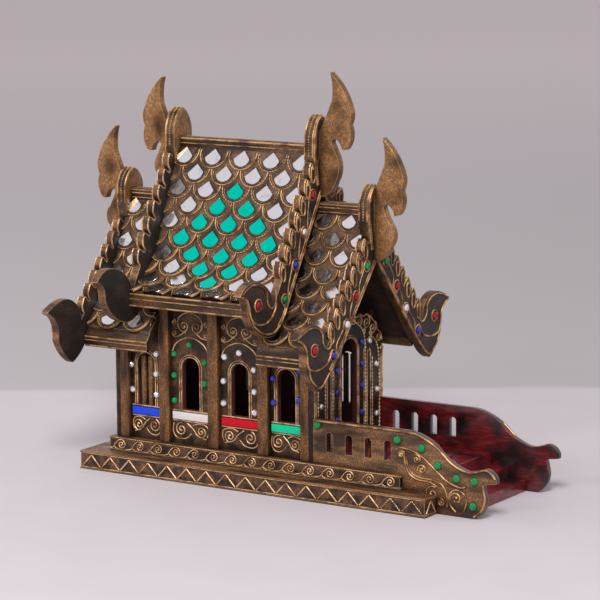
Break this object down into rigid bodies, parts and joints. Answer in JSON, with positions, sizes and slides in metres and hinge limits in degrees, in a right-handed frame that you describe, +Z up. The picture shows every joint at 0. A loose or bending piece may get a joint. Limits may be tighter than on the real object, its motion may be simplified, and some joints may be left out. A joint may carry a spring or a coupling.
{
  "type": "spirit house",
  "caption": "Small carved and gilded wooden spirit house with steep tiered roofs, horned gables, arched windows and a front terrace with steps.",
  "frame": {"origin": "on the ground under the middle of the hall", "axes": "+X towards the front steps, +Y to the left side of the house, +Z up"},
  "size_m": [0.3616, 0.208, 0.292],
  "materials": {
    "gilt_wood": "carved wood under worn antique gold paint",
    "red_lacquer": "dark red lacquer, satin",
    "mirror_glass": "cut silver mirror pieces",
    "green_glass": "foil-backed green mirror glass",
    "coloured_glass": "blue, white, red and green glass strips and jewels"
  },
  "bodies": {
    "root": {"floor_board": "red_lacquer", "front_gable_wall": "gilt_wood", "front_ridge_cap": "gilt_wood", "front_roof_left": "gilt_wood", "front_roof_right": "gilt_wood", "front_stair": "red_lacquer", "front_wall": "gilt_wood", "left_balustrade": "gilt_wood", "left_posts": "gilt_wood", "left_wall_front": "gilt_wood", "left_wall_mid_front": "gilt_wood", "left_wall_mid_rear": "gilt_wood", "left_wall_rear": "gilt_wood", "low_front_board_left": "gilt_wood", "low_front_board_right": "gilt_wood", "low_front_horn": "gilt_wood", "low_rear_board_left": "gilt_wood", "low_rear_board_right": "gilt_wood", "low_rear_horn": "gilt_wood", "lower_plinth": "gilt_wood", "main_front_board_left": "gilt_wood", "main_front_board_right": "gilt_wood", "main_front_horn": "gilt_wood", "main_rear_board_left": "gilt_wood", "main_rear_board_right": "gilt_wood", "main_rear_horn": "gilt_wood", "main_ridge_cap": "gilt_wood", "main_roof_left": "gilt_wood", "main_roof_right": "gilt_wood", "rear_gable_wall": "gilt_wood", "rear_ridge_cap": "gilt_wood", "rear_roof_left": "gilt_wood", "rear_roof_right": "gilt_wood", "rear_wall": "gilt_wood", "right_balustrade": "gilt_wood", "right_posts": "gilt_wood", "right_wall_front": "gilt_wood", "right_wall_mid_front": "gilt_wood", "right_wall_mid_rear": "gilt_wood", "right_wall_rear": "gilt_wood", "upper_plinth": "gilt_wood"}
  },
  "joints": []
}
